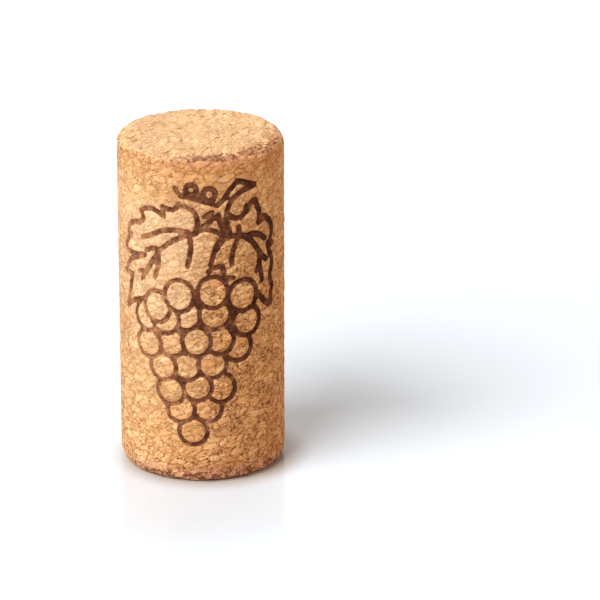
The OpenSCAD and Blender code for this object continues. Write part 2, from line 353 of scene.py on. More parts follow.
# %% Relief: a node group that knows the pattern
relief = bpy.data.node_groups.new("cork_relief", "GeometryNodeTree")
relief.interface.new_socket("Geometry", in_out="INPUT", socket_type="NodeSocketGeometry")
relief.interface.new_socket("Geometry", in_out="OUTPUT", socket_type="NodeSocketGeometry")
group_in = add_node(relief, "NodeGroupInput")
place = add_node(relief, "GeometryNodeInputNamedAttribute", {"Name": "place_mm"}, data_type="FLOAT_VECTOR")
burnt = add_node(relief, "GeometryNodeInputNamedAttribute", {"Name": "burn_mm"}, data_type="FLOAT")
pattern = granules(relief, place)
print("the pattern takes", len(relief.nodes) - 3, "nodes")

# %% Relief: each granule has a height and a slope of its own
PROUD = 0.03                        # granules stand up to this much higher or lower, mm
FACET = 0.15                        # how steeply their tops slope
SOFT_EDGE = 0.3                     # their tops are rounded this near a seam, mm
chance = add_node(relief, "ShaderNodeSeparateXYZ", {0: pattern["granule"]})
swell = add_node(relief, "ShaderNodeMapRange", {
    "Value": pattern["gap"], "From Min": 0.0, "From Max": SOFT_EDGE}, **EASED)
level = add_node(relief, "ShaderNodeMapRange", {
    "Value": chance.outputs["Y"], "To Min": -PROUD, "To Max": PROUD})
facet = add_node(relief, "ShaderNodeMath", {0: pattern["tilt"], 1: FACET}, operation="MULTIPLY")
level = add_node(relief, "ShaderNodeMath", {0: level, 1: facet}, operation="ADD")
level = add_node(relief, "ShaderNodeMath", {0: level, 1: swell}, operation="MULTIPLY")
print("granules stand up to", PROUD, "mm higher or lower than usual")

# %% Relief: sunk seams, unevenness, missing crumbs, the worn edge and the grooves
SEAM_SUNK, SEAM_HALF = 0.05, 0.18   # depth and half width of the sunk seams, mm
ROUGH = 1 / 1.3                     # size of the unevenness over all, mm
ROUGH_LOW, ROUGH_HIGH = -0.04, 0.03 # and its depth and height, mm
CHIP = 0.22                         # the deepest crumbs are missing from the rims by this much, mm
WORN = 0.25                         # the worn edge is this much lower, mm
WALL_TOP, WALL_FOOT = -0.06, 0.14   # a groove's wall goes down between these distances to its edge, mm
seam = add_node(relief, "ShaderNodeMapRange", {
    "Value": pattern["gap"], "From Min": 0.0, "From Max": SEAM_HALF, "To Min": -SEAM_SUNK, "To Max": 0.0},
    **EASED)
rough = patches(relief, place, ROUGH, detail=4.0, rough=0.6, least=ROUGH_LOW, most=ROUGH_HIGH)
chip = add_node(relief, "ShaderNodeMapRange", {
    "Value": chance.outputs["X"], "From Min": 0.35, "From Max": 0.9, "To Min": 0.0, "To Max": -CHIP})
chip = add_node(relief, "ShaderNodeMath", {0: chip, 1: pattern["rim"]}, operation="MULTIPLY")
slope = add_node(relief, "ShaderNodeMath", {0: pattern["worn edge"], 1: -WORN}, operation="MULTIPLY")
groove = add_node(relief, "ShaderNodeMapRange", {
    "Value": burnt, "From Min": WALL_TOP, "From Max": WALL_FOOT, "To Min": 0.0, "To Max": -BURN_DEPTH},
    **EASED)
total = level
for part in (seam, rough, chip, slope, groove):
    total = add_node(relief, "ShaderNodeMath", {0: total, 1: part}, operation="ADD")
print("rims lose up to", round(CHIP + WORN, 2), "mm, and grooves are", round(BURN_DEPTH, 2), "mm deep")

# %% Relief: keep the cork's size, and apply it all
PROUDEST = 0.05                     # nothing stands farther out than this, mm
END_FLAT, END_FREE = 0.3, 2.0       # that limit sinks to nothing between these distances to an end, mm
above = add_node(relief, "ShaderNodeSeparateXYZ", {0: place}).outputs["Z"]
below = add_node(relief, "ShaderNodeMath", {0: LENGTH, 1: above}, operation="SUBTRACT")
from_end = add_node(relief, "ShaderNodeMath", {0: above, 1: below}, operation="MINIMUM")
limit = add_node(relief, "ShaderNodeMapRange", {
    "Value": from_end, "From Min": END_FLAT, "From Max": END_FREE, "To Min": 0.0, "To Max": PROUDEST})
total = add_node(relief, "ShaderNodeMath", {0: total, 1: limit}, operation="MINIMUM")
metres = add_node(relief, "ShaderNodeMath", {0: total, 1: MM}, operation="MULTIPLY")
normal = add_node(relief, "GeometryNodeInputNormal")
shift = add_node(relief, "ShaderNodeVectorMath", {0: normal, "Scale": metres}, operation="SCALE")
moved = add_node(relief, "GeometryNodeSetPosition", {"Geometry": group_in, "Offset": shift})
add_node(relief, "NodeGroupOutput", {0: moved})

modifier = cork.modifiers.new("relief", "NODES")
modifier.node_group = relief
evaluated = cork.evaluated_get(bpy.context.evaluated_depsgraph_get())
cork.data = bpy.data.meshes.new_from_object(evaluated)
cork.modifiers.remove(modifier)
cork.data.shade_smooth()
print("relief applied to", len(cork.data.vertices), "points")

# %% [markdown]
# Colours are written as sRGB hex values, as a colour picker gives them. The renderer works with linear light,
# so one function turns them. A tint that only takes something off a colour is written as the shares of red,
# green and blue that it leaves.

# %% Colours
def linear(hex_colour):
    """An sRGB hex colour as linear RGBA."""
    parts = [int(hex_colour[i:i + 2], 16) / 255 for i in (1, 3, 5)]
    return [p / 12.92 if p <= 0.04045 else ((p + 0.055) / 1.055) ** 2.4 for p in parts] + [1.0]

print("mid grey #808080 is", round(linear("#808080")[0], 3), "in linear light")

# %% [markdown]
# The real material is agglomerated cork: crumbs of oak bark, pressed together with a little glue and ground
# to size. To the eye it is a mosaic. Every crumb has a tan of its own and thin brown seams part them, some
# crumbs are redder or browner, and the surface is dry and matt. An image of cork would be quick to use, but
# it would blur up close and show its repeats. So the colour is built in layers, from the granules down to the
# pores, each from a noise that is as coarse as the thing it stands for. Cork's index of refraction is low,
# about 1.4, and it has hardly any gloss.

# %% Pressed cork: a tan for each granule
cork_material = bpy.data.materials.new("pressed_cork")
cork_material.use_nodes = True
tree = cork_material.node_tree
tree.nodes.clear()
place = add_node(tree, "ShaderNodeAttribute", attribute_name="place_mm").outputs["Vector"]
burnt = add_node(tree, "ShaderNodeAttribute", attribute_name="burn_mm").outputs["Fac"]
pattern = granules(tree, place)
chance = add_node(tree, "ShaderNodeSeparateXYZ", {0: pattern["granule"]})
tone = add_node(tree, "ShaderNodeValToRGB", {"Fac": chance.outputs["X"]})
tone.color_ramp.elements[0].color = linear("#E1B281")
tone.color_ramp.elements[1].color = linear("#F8DDAF")
for position, colour in ((0.2, "#E9BE8A"), (0.5, "#F2CC98"), (0.8, "#F6D5A3")):
    tone.color_ramp.elements.new(position).color = linear(colour)
print(len(tone.color_ramp.elements), "tans")

# %% Pressed cork: where it is worn, and where shade is painted
WORN_AND_SHADED_SIDE = (0.55, -0.83, 0.0)      # worn, rougher, and painted shade away from the light
BROWN_FROM, BROWN_FULL = 36.0, 5.0  # heights between which painted shade turns it brown, mm
# This side mask marks the worn side, which is also the side away from the light, where shade is painted.
side = add_node(tree, "ShaderNodeVectorMath", {0: place, 1: WORN_AND_SHADED_SIDE}, operation="DOT_PRODUCT")
side = add_node(tree, "ShaderNodeMapRange", {
    "Value": side, "From Min": 0.2 * BARREL_R, "From Max": 0.9 * BARREL_R}, **EASED)
along, _, height = add_node(tree, "ShaderNodeSeparateXYZ", {0: place}).outputs
lower = add_node(tree, "ShaderNodeMapRange", {
    "Value": height, "From Min": BROWN_FROM, "From Max": BROWN_FULL}, **EASED)
# Painted shade: low down on the side away from the light.
shade_low_down = add_node(tree, "ShaderNodeMath", {0: lower, 1: side}, operation="MULTIPLY")
print("most worn towards", WORN_AND_SHADED_SIDE)

# %% Pressed cork: mottling, ruddy granules and brown crumbs
CLOUD = 1 / 0.9                     # size of the softest mottles, mm
RUDDY = 1 / 0.35                    # size of a patch of redder granules, from nearer the bark, mm
FILLING = 1 / 1.5                   # size of the brown crumbs that fill up between the pale ones, mm
clouds = patches(tree, pattern["laid"], CLOUD, detail=8.0, rough=0.8, levels=(0.42, 0.72), most=0.8)
mottled = add_node(tree, "ShaderNodeMix", {0: clouds, 6: tone, 7: linear("#C9925E")}, **RGBA)
ruddy = patches(tree, place, RUDDY, detail=3.0, rough=0.6, levels=(0.48, 0.64), most=0.45, **EASED)
unworn = add_node(tree, "ShaderNodeMapRange", {"Value": side, "To Min": 1.0, "To Max": 0.1})
ruddy = add_node(tree, "ShaderNodeMath", {0: ruddy, 1: unworn}, operation="MULTIPLY")
ruddied = add_node(tree, "ShaderNodeMix", {0: ruddy, 6: mottled, 7: linear("#E9AE80")}, **RGBA)
filling = patches(
    tree, pattern["laid"], FILLING, detail=4.0, rough=0.6, levels=(0.53, 0.66), most=0.4, **EASED)
filled = add_node(tree, "ShaderNodeMix", {0: filling, 6: ruddied, 7: linear("#B47B4B")}, **RGBA)
print("3 layers, of", round(CLOUD, 2), round(RUDDY, 2), "and", round(FILLING, 2), "mm")

# %% Pressed cork: growth lines, which run their own way in each granule
GROWTH = (1.3, 2.0, 4.5)            # lines to a millimetre along a granule, across it and through it
TURN = 1.6                          # a granule is turned by up to this angle, in radians
axis = add_node(tree, "ShaderNodeVectorMath", {0: pattern["granule"], 1: HALF}, operation="SUBTRACT")
turn = add_node(tree, "ShaderNodeMath", {0: chance.outputs["Y"], 1: TURN}, operation="MULTIPLY")
turned = add_node(tree, "ShaderNodeVectorRotate", {
    "Vector": pattern["laid"], "Axis": axis, "Angle": turn}, rotation_type="AXIS_ANGLE")
growth = add_node(tree, "ShaderNodeVectorMath", {0: turned, 1: GROWTH}, operation="MULTIPLY")
growth = patches(tree, growth, 1.0, detail=4.0, rough=0.7, levels=(0.46, 0.70), most=0.5)
grained = add_node(tree, "ShaderNodeMix", {0: growth, 6: filled, 7: linear("#B88150")}, **RGBA)
print("growth lines about", round(1 / GROWTH[2], 2), "mm apart")

# %% [markdown]
# Between the granules lie seams of glue. They are wide and soft in one place, a crisp dark line in the next
# and gone in a third, and here and there one has opened to a crack. One edge distance with one threshold
# would draw them all alike, like a net. So each kind takes the same distance to the granule's edge, and a
# noise of its own makes it wider or narrower, or leaves it out. Hairlines, pores, pits and slivers of dark
# bark come on top.

# %% Pressed cork: soft seams and crisp ones
FADE = 1 / 1.6                      # a soft seam comes and goes over this length, mm
DRAWN = 1 / 1.9                     # and a crisp one over this
seam_width = patches(tree, place, FADE, detail=3.0, rough=0.6, levels=(0.40, 0.66), least=-0.05, most=0.30)
seam = add_node(tree, "ShaderNodeMath", {0: seam_width, 1: pattern["gap"]}, operation="SUBTRACT")
seam = add_node(tree, "ShaderNodeMapRange", {
    "Value": seam, "From Min": -0.06, "From Max": 0.10, "To Max": 0.6}, **EASED)
seamed = add_node(tree, "ShaderNodeMix", {0: seam, 6: grained, 7: linear("#A67146")}, **RGBA)
drawn = patches(tree, pattern["laid"], DRAWN, detail=3.0, rough=0.7, levels=(0.52, 0.68), most=0.14)
drawn = add_node(tree, "ShaderNodeMath", {0: drawn, 1: pattern["gap"]}, operation="SUBTRACT")
drawn = add_node(tree, "ShaderNodeMapRange", {
    "Value": drawn, "From Min": -0.02, "From Max": 0.04, "To Max": 0.68}, **EASED)
seamed = add_node(tree, "ShaderNodeMix", {0: drawn, 6: seamed, 7: linear("#8E5C34")}, **RGBA)
print("two kinds of seam, over", round(FADE, 2), "and", round(DRAWN, 2), "mm")

# %% Pressed cork: hairlines, which wander over granules and seams alike
HAIR = 1 / 1.15                     # size of a hairline's bends, mm
BROKEN = 1 / 2.3                    # and length of its pieces, mm
HALF_LEVEL = 0.5                    # a hairline follows the half level of a noise
hair = add_node(tree, "ShaderNodeTexNoise", {
    "Vector": pattern["laid"], "Scale": 1 / HAIR, "Detail": 2.0, "Roughness": 0.5, "Distortion": 0.4})
hair = add_node(tree, "ShaderNodeMath", {0: hair, 1: HALF_LEVEL}, operation="SUBTRACT")
hair = add_node(tree, "ShaderNodeMath", {0: hair}, operation="ABSOLUTE")
hair = add_node(tree, "ShaderNodeMapRange", {"Value": hair, "From Min": 0.028, "From Max": 0.004}, **EASED)
broken = patches(tree, place, BROKEN, levels=(0.50, 0.62), most=0.7)
hair = add_node(tree, "ShaderNodeMath", {0: hair, 1: broken}, operation="MULTIPLY")
haired = add_node(tree, "ShaderNodeMix", {0: hair, 6: seamed, 7: linear("#94603A")}, **RGBA)
print("hairlines in pieces of about", round(BROKEN, 2), "mm")

# %% Pressed cork: open seams, more of them low on the barrel and at the rims
OPENED = 1 / 2.2                    # length of an open seam, mm
wider = add_node(tree, "ShaderNodeMath", {0: lower, 1: pattern["rim"]}, operation="MAXIMUM")
wider = add_node(tree, "ShaderNodeMapRange", {"Value": wider, "To Max": 0.05})
opened = add_node(tree, "ShaderNodeTexNoise", {
    "Vector": place, "Scale": 1 / OPENED, "Detail": 3.0, "Roughness": 0.6})
opened = add_node(tree, "ShaderNodeMath", {0: opened, 1: wider}, operation="ADD")
crack = add_node(tree, "ShaderNodeMapRange", {
    "Value": opened, "From Min": 0.61, "From Max": 0.80, "To Max": 0.22})
crack = add_node(tree, "ShaderNodeMath", {0: crack, 1: pattern["gap"]}, operation="SUBTRACT")
crack = add_node(tree, "ShaderNodeMapRange", {
    "Value": crack, "From Min": -0.02, "From Max": 0.06, "To Max": 0.8}, **EASED)
cracked = add_node(tree, "ShaderNodeMix", {0: crack, 6: haired, 7: linear("#6A3B18")}, **RGBA)
print("open seams about", round(OPENED, 2), "mm long")

# %% Pressed cork: pores, pits and slivers of bark
PORE = 1 / 4.2                      # size of a group of fine pores, drawn as coarse as it needs to show, mm
PIT = 1 / 2.1                       # size of a dark pit, mm
SLIVER = 1 / 2.2                    # size of a sliver of dark bark, mm
pore = patches(tree, pattern["laid"], PORE, rough=0.6, levels=(0.58, 0.68), most=0.6, **EASED)
pored = add_node(tree, "ShaderNodeMix", {0: pore, 6: cracked, 7: linear("#8F6038")}, **RGBA)

# Most pits are where granules meet, and the worn side has more of them
pit = add_node(tree, "ShaderNodeTexNoise", {
    "Vector": place, "Scale": 1 / PIT, "Detail": 3.0, "Roughness": 0.6})
near_gap = add_node(tree, "ShaderNodeMapRange", {
    "Value": pattern["gap"], "From Min": 0.0, "From Max": 0.25, "To Min": 0.05, "To Max": -0.04})
pit = add_node(tree, "ShaderNodeMath", {0: pit, 1: near_gap}, operation="ADD")
more = add_node(tree, "ShaderNodeMath", {0: side, 1: 0.045}, operation="MULTIPLY")
pit = add_node(tree, "ShaderNodeMath", {0: pit, 1: more}, operation="ADD")
pit = add_node(tree, "ShaderNodeMapRange", {
    "Value": pit, "From Min": 0.672, "From Max": 0.69, "To Max": 0.85}, **EASED)
pitted = add_node(tree, "ShaderNodeMix", {0: pit, 6: pored, 7: linear("#6B3D18")}, **RGBA)

sliver = patches(
    tree, pattern["laid"], SLIVER, detail=4.0, rough=0.6, levels=(0.655, 0.71), most=0.85, **EASED)
specked = add_node(tree, "ShaderNodeMix", {0: sliver, 6: pitted, 7: linear("#5F3616")}, **RGBA)
print("pores, pits and slivers of", round(PORE, 2), round(PIT, 2), "and", round(SLIVER, 2), "mm")

# %% Pressed cork: a fine grain over all
# Grinding leaves a grain of a few hundredths of a millimetre. It is drawn coarser here, so that it shows.
GRIT = (3.0, 4.2, 6.0)              # grains to a millimetre along a granule, across it and through it
ROUGHER = 1.5                       # the grain is this much stronger on one side
grit_at = add_node(tree, "ShaderNodeVectorMath", {0: turned, 1: GRIT}, operation="MULTIPLY")
grit = patches(tree, grit_at, 1.0, rough=0.6, levels=(0.3, 0.7), least=-0.26, most=0.26)
coarser = add_node(tree, "ShaderNodeMapRange", {
    "Value": along, "From Min": 0.0, "From Max": 0.9 * BARREL_R, "To Min": 1.0, "To Max": ROUGHER})
grit = add_node(tree, "ShaderNodeMath", {0: grit, 1: coarser, 2: 1.0}, operation="MULTIPLY_ADD")
gritty = add_node(tree, "ShaderNodeVectorMath", {0: specked, "Scale": grit}, operation="SCALE")
print("grains from", round(1 / GRIT[2], 2), "to", round(1 / GRIT[0], 2), "mm")

# %% [markdown]
# A cork that has been handled is not one colour from end to end. It is paler near the top and browner in a
# strip under the top's rim. The side away from the light carries painted shade: tan all along, browner low
# down, and darker still in a strip above the foot, from the middle round to that side. These are shifts of
# tone without an outline, so plain ramps over the height and across the barrel make them, not more noise.

# %% Pressed cork: paler above, and painted shade on the side away from the light
NO_TINT = (1.0, 1.0, 1.0, 1.0)      # leaves a colour as it is
# Painted shade, as the shares of red, green and blue that the colour keeps, on the side away from the light.
SHADE_SIDE_TINT = (0.90, 0.83, 0.75, 1.0)       # painted shade on the side away from the light
SHADE_LOW_TINT = (0.87, 0.77, 0.68, 1.0)     # and more painted shade low down
upper = add_node(tree, "ShaderNodeMapRange", {
    "Value": height, "From Min": 30.0, "From Max": 42.0, "To Max": 0.2}, **EASED)
gritty = add_node(tree, "ShaderNodeMix", {0: upper, 6: gritty, 7: linear("#F2CC9A")}, **RGBA)
# Painted shade: the side away from the light is tinted tan, and browner low down.
shade_side_tinted = add_node(tree, "ShaderNodeMix", {0: side, 6: NO_TINT, 7: SHADE_SIDE_TINT}, **RGBA)
shaded = add_node(tree, "ShaderNodeMix", {0: shade_low_down, 6: shade_side_tinted, 7: SHADE_LOW_TINT}, **RGBA)
toned = add_node(tree, "ShaderNodeMix", {0: 1.0, 6: gritty, 7: shaded}, blend_type="MULTIPLY", **RGBA)
print("the worn side keeps", SHADE_SIDE_TINT[:3], "and low down", SHADE_LOW_TINT[:3])

# %% Pressed cork: the strip under the top's rim, and painted shade in a strip above the foot
HANDLED = (0.93, 0.83, 0.74, 1.0)   # what many fingers have left of the colours under the top's rim
FOOT_SHADE = (0.90, 0.83, 0.80, 1.0)     # and what painted shade leaves of them in a strip above the foot

# A strip is where two ramps overlap. Each goes over a height or across the barrel, from a start to its full.
under_top = (height, LENGTH - 5.0, LENGTH - 1.5), (height, LENGTH, LENGTH - 0.8)
# Painted shade in a strip above the foot, from the middle round to the side away from the light.
over_foot = (height, 6.5, 3.0), (along, -0.5 * BARREL_R, 0.15 * BARREL_R)
for ramps, tint in ((under_top, HANDLED), (over_foot, FOOT_SHADE)):
    first, second = (
        add_node(tree, "ShaderNodeMapRange", {"Value": value, "From Min": start, "From Max": full}, **EASED)
        for value, start, full in ramps)
    strip = add_node(tree, "ShaderNodeMath", {0: first, 1: second}, operation="MULTIPLY")
    strip = add_node(tree, "ShaderNodeMix", {0: strip, 6: NO_TINT, 7: tint}, **RGBA)
    toned = add_node(tree, "ShaderNodeMix", {0: 1.0, 6: toned, 7: strip}, blend_type="MULTIPLY", **RGBA)
print("the strips keep", HANDLED[:3], "and", FOOT_SHADE[:3])

# %% [markdown]
# The rims are bruised. Freshly broken crumbs are pinkish, and there are dark holes between them, round the
# foot and on the worn side of the top. A painted ring would look like a label, so the same rim masks that
# sink the crumbs in the mesh choose where they are pink, and two noises break the ring up.

# %% Pressed cork: pinkish crumbs at the rims
BRUISE = 1 / 0.7                    # size of a bruised patch, mm
SPARED = 0.15                       # what one side of the foot has of the bruise
TOP_BRUISE = 0.8                    # how bruised the top's rim is on the worn side
EDGE_BRUISE = 0.35                  # and how much more where it is worn down
top_bruise = add_node(tree, "ShaderNodeMath", {0: pattern["top rim"], 1: side}, operation="MULTIPLY")
top_bruise = add_node(tree, "ShaderNodeMath", {0: top_bruise, 1: TOP_BRUISE}, operation="MULTIPLY")
top_bruise = add_node(tree, "ShaderNodeMath", {
    0: pattern["worn edge"], 1: EDGE_BRUISE, 2: top_bruise}, operation="MULTIPLY_ADD")
spared = add_node(tree, "ShaderNodeMapRange", {
    "Value": along, "From Min": -0.97 * BARREL_R, "From Max": -0.75 * BARREL_R, "To Min": SPARED}, **EASED)
foot_rim = add_node(tree, "ShaderNodeMath", {0: pattern["foot rim"], 1: spared}, operation="MULTIPLY")
patch = patches(tree, pattern["laid"], BRUISE, detail=5.0, rough=0.7, levels=(0.36, 0.56), most=0.8, **EASED)
bruise = add_node(tree, "ShaderNodeMath", {0: top_bruise, 1: foot_rim}, operation="MAXIMUM")
bruise = add_node(tree, "ShaderNodeMath", {0: bruise, 1: patch}, operation="MULTIPLY")
pink = add_node(tree, "ShaderNodeMix", {0: side, 6: linear("#B47E66"), 7: linear("#BE8A72")}, **RGBA)
pink = add_node(tree, "ShaderNodeMix", {0: pattern["worn edge"], 6: pink, 7: linear("#AC7454")}, **RGBA)
pink = add_node(tree, "ShaderNodeVectorMath", {0: pink, "Scale": grit}, operation="SCALE")
toned = add_node(tree, "ShaderNodeMix", {0: bruise, 6: toned, 7: pink}, **RGBA)
print("bruised patches of", round(BRUISE, 2), "mm")

# %% Pressed cork: dark holes between the crumbs
HOLE = 1 / 1.35                     # size of a hole, mm
TOP_HOLES, WORN_HOLES = 0.2, 0.65   # how likely holes are round the top, and how much more on the worn side
EDGE_HOLES = 0.22                   # and how much more still where the edge is worn down
hole = add_node(tree, "ShaderNodeTexNoise", {
    "Vector": place, "Scale": 1 / HOLE, "Detail": 3.0, "Roughness": 0.65})
near_top = add_node(tree, "ShaderNodeMath", {0: side, 1: WORN_HOLES, 2: TOP_HOLES}, operation="MULTIPLY_ADD")
near_top = add_node(tree, "ShaderNodeMath", {0: near_top, 1: pattern["top rim"]}, operation="MULTIPLY")
near_top = add_node(tree, "ShaderNodeMath", {
    0: pattern["worn edge"], 1: EDGE_HOLES, 2: near_top}, operation="MULTIPLY_ADD")
near_rim = add_node(tree, "ShaderNodeMath", {0: near_top, 1: foot_rim}, operation="MAXIMUM")
near_rim = add_node(tree, "ShaderNodeMapRange", {"Value": near_rim, "To Min": -0.3, "To Max": 0.08})
hole = add_node(tree, "ShaderNodeMath", {0: hole, 1: near_rim}, operation="ADD")
near_gap = add_node(tree, "ShaderNodeMapRange", {
    "Value": pattern["gap"], "From Min": 0.0, "From Max": 0.25, "To Min": 0.08, "To Max": 0.0})
hole = add_node(tree, "ShaderNodeMath", {0: hole, 1: near_gap}, operation="ADD")
hole = add_node(tree, "ShaderNodeMapRange", {
    "Value": hole, "From Min": 0.605, "From Max": 0.635, "To Max": 0.8}, **EASED)
toned = add_node(tree, "ShaderNodeMix", {0: hole, 6: toned, 7: linear("#5E301C")}, **RGBA)
print("holes of", round(HOLE, 2), "mm")

# %% Pressed cork: the two cut faces
# They are even and pale, because they were cut last. Short dark dashes show where the knife tore.
CUT_STARTS, CUT_FULL = 0.5, 0.1     # depths between which the side's colour turns to the cut face's, mm
EVEN = 0.48                         # how much of its own colour a cut face hides
DASH = (0.9, 3.0, 1.0)              # dashes to a millimetre along the cut, across it and downwards
DASH_TURN = math.radians(-55)       # the knife went this way
from_end = add_node(tree, "ShaderNodeMath", {0: LENGTH, 1: height}, operation="SUBTRACT")
from_end = add_node(tree, "ShaderNodeMath", {0: from_end, 1: height}, operation="MINIMUM")
cut = add_node(tree, "ShaderNodeMapRange", {
    "Value": from_end, "From Min": CUT_STARTS, "From Max": CUT_FULL}, **EASED)
uncut = add_node(tree, "ShaderNodeMapRange", {"Value": pattern["worn edge"], "To Min": 1.0, "To Max": 0.1})
cut = add_node(tree, "ShaderNodeMath", {0: cut, 1: uncut}, operation="MULTIPLY")
evened = add_node(tree, "ShaderNodeMath", {0: cut, 1: EVEN}, operation="MULTIPLY")
toned = add_node(tree, "ShaderNodeMix", {0: evened, 6: toned, 7: linear("#D0AB84")}, **RGBA)
dash = add_node(tree, "ShaderNodeVectorRotate", {"Vector": place, "Angle": DASH_TURN}, rotation_type="Z_AXIS")
dash = add_node(tree, "ShaderNodeVectorMath", {0: dash, 1: DASH}, operation="MULTIPLY")
dash = patches(tree, dash, 1.0, levels=(0.595, 0.645), most=0.75, **EASED)
dash = add_node(tree, "ShaderNodeMath", {0: dash, 1: cut}, operation="MULTIPLY")
toned = add_node(tree, "ShaderNodeMix", {0: dash, 6: toned, 7: linear("#86541F")}, **RGBA)
print("dashes about", round(1 / DASH[0], 2), "by", round(1 / DASH[1], 2), "mm")

# %% Pressed cork: the side that is smooth and pale
# The iron and many hands have pressed this side, between the strips at its ends and less near its edge.
PRESSED = 0.27                      # how much of its own colour this side has lost
above_foot = add_node(tree, "ShaderNodeMapRange", {
    "Value": height, "From Min": 2.0, "From Max": 7.0}, **EASED)
below_top = add_node(tree, "ShaderNodeMapRange", {
    "Value": height, "From Min": LENGTH - 6.0, "From Max": LENGTH - 9.0}, **EASED)
smooth = add_node(tree, "ShaderNodeMapRange", {
    "Value": along, "From Min": 0.25 * BARREL_R, "From Max": -0.25 * BARREL_R, "To Max": PRESSED}, **EASED)
off_edge = add_node(tree, "ShaderNodeMapRange", {
    "Value": along, "From Min": -0.97 * BARREL_R, "From Max": -0.7 * BARREL_R, "To Min": 0.5}, **EASED)
for part in (above_foot, below_top, off_edge):
    smooth = add_node(tree, "ShaderNodeMath", {0: smooth, 1: part}, operation="MULTIPLY")
even_tone = add_node(tree, "ShaderNodeMix", {0: lower, 6: linear("#F8E4C4"), 7: linear("#E6B478")}, **RGBA)
toned = add_node(tree, "ShaderNodeMix", {0: smooth, 6: toned, 7: even_tone}, **RGBA)
print("the smooth side hides", PRESSED, "of the pattern")

# %% [markdown]
# The marks were branded with a hot iron. That leaves a thin stain rather than ink: the granules show through
# it, it is purplish in one granule and reddish in the next, its edge frays, and it is darkest where the iron
# rested longest. Filling the groove with one dark brown would look printed. So the distance to the burnt edge
# gives the outline, a noise frays it by a tenth of a millimetre or so, and a colour ramp turns the heat that
# one more noise gives to a brown. On the side where the iron pressed harder, the stain is wider. Across the
# barrel it also gets darker towards that side.

# %% Burnt cork: how far the stain reaches
FRAY = 1 / 3.0                      # length of a fray in the stain's edge, mm
FRAYED = 0.16                       # the most by which the edge is frayed in or out, mm
SPREAD = 0.10                       # where the iron pressed hardest, the stain is this much wider, mm
fray = patches(tree, place, FRAY, detail=3.0, least=-FRAYED, most=FRAYED)
spread = add_node(tree, "ShaderNodeMapRange", {
    "Value": along, "From Min": 0.3 * BARREL_R, "From Max": 0.8 * BARREL_R, "To Max": SPREAD})
reach = add_node(tree, "ShaderNodeMath", {0: burnt, 1: fray}, operation="ADD")
reach = add_node(tree, "ShaderNodeMath", {0: reach, 1: spread}, operation="ADD")
stained = add_node(tree, "ShaderNodeMapRange", {"Value": reach, "From Min": -0.04, "From Max": 0.03}, **EASED)
print("the stain is up to", SPREAD, "mm wider than the groove, and frayed")

# %% Burnt cork: how hot it was in each place, and the brown that this gave
SCORCH = 1 / 0.8                    # size of a darker or paler patch of the burn, mm
scorch = patches(tree, place, SCORCH, detail=5.0, rough=0.7, levels=(0.3, 0.7), least=0.31, most=0.69)
deep = add_node(tree, "ShaderNodeMapRange", {
    "Value": reach, "From Min": -0.1, "From Max": 0.12, "To Min": -0.06, "To Max": 0.02})
scorch = add_node(tree, "ShaderNodeMath", {0: scorch, 1: deep}, operation="ADD")
# The stain gets darker towards +x across the barrel.
darker_towards_x = add_node(tree, "ShaderNodeMapRange", {
    "Value": along, "From Min": -0.8 * BARREL_R, "From Max": 0.6 * BARREL_R, "To Min": -0.15, "To Max": 0.06})
scorch = add_node(tree, "ShaderNodeMath", {0: scorch, 1: darker_towards_x}, operation="ADD")
char = add_node(tree, "ShaderNodeValToRGB", {"Fac": scorch})
char.color_ramp.elements[0].position = 0.32
char.color_ramp.elements[0].color = linear("#AE7C55")
char.color_ramp.elements[1].position = 0.66
char.color_ramp.elements[1].color = linear("#3E1C0D")
char.color_ramp.elements.new(0.42).color = linear("#805539")
char.color_ramp.elements.new(0.52).color = linear("#623B27")
print(len(char.color_ramp.elements), "browns, from toasted to charred")

# %% Burnt cork: purplish and reddish patches, a toasted edge, and the stain on the cork
HUE = 1 / 1.7                       # size of such a patch, mm
PURPLISH = (0.93, 1.0, 1.3, 1.0)    # what a patch makes of the brown's red, green and blue
REDDISH = (1.06, 1.0, 0.86, 1.0)
hue = patches(tree, place, HUE, detail=3.0, rough=0.6, levels=(0.40, 0.60))
hue = add_node(tree, "ShaderNodeMix", {0: hue, 6: PURPLISH, 7: REDDISH}, **RGBA)
char = add_node(tree, "ShaderNodeMix", {0: 1.0, 6: char, 7: hue}, blend_type="MULTIPLY", **RGBA)
toasted = add_node(tree, "ShaderNodeMapRange", {
    "Value": reach, "From Min": -0.22, "From Max": -0.02, "To Max": 0.3}, **EASED)
toned = add_node(tree, "ShaderNodeMix", {0: toasted, 6: toned, 7: linear("#C08A66")}, **RGBA)
finished = add_node(tree, "ShaderNodeMix", {0: stained, 6: toned, 7: char}, **RGBA)
print("the colour takes", len(tree.nodes), "nodes")

# %% [markdown]
# Grain and small facets are finer than the mesh can hold, which has a point about every 0.22 mm. So this last
# bit of relief is a bump, a few hundredths of a millimetre high. The rest of the surface is simple: cork is
# matt and has no clear coat, so a high roughness and a low specular level are the same all over.

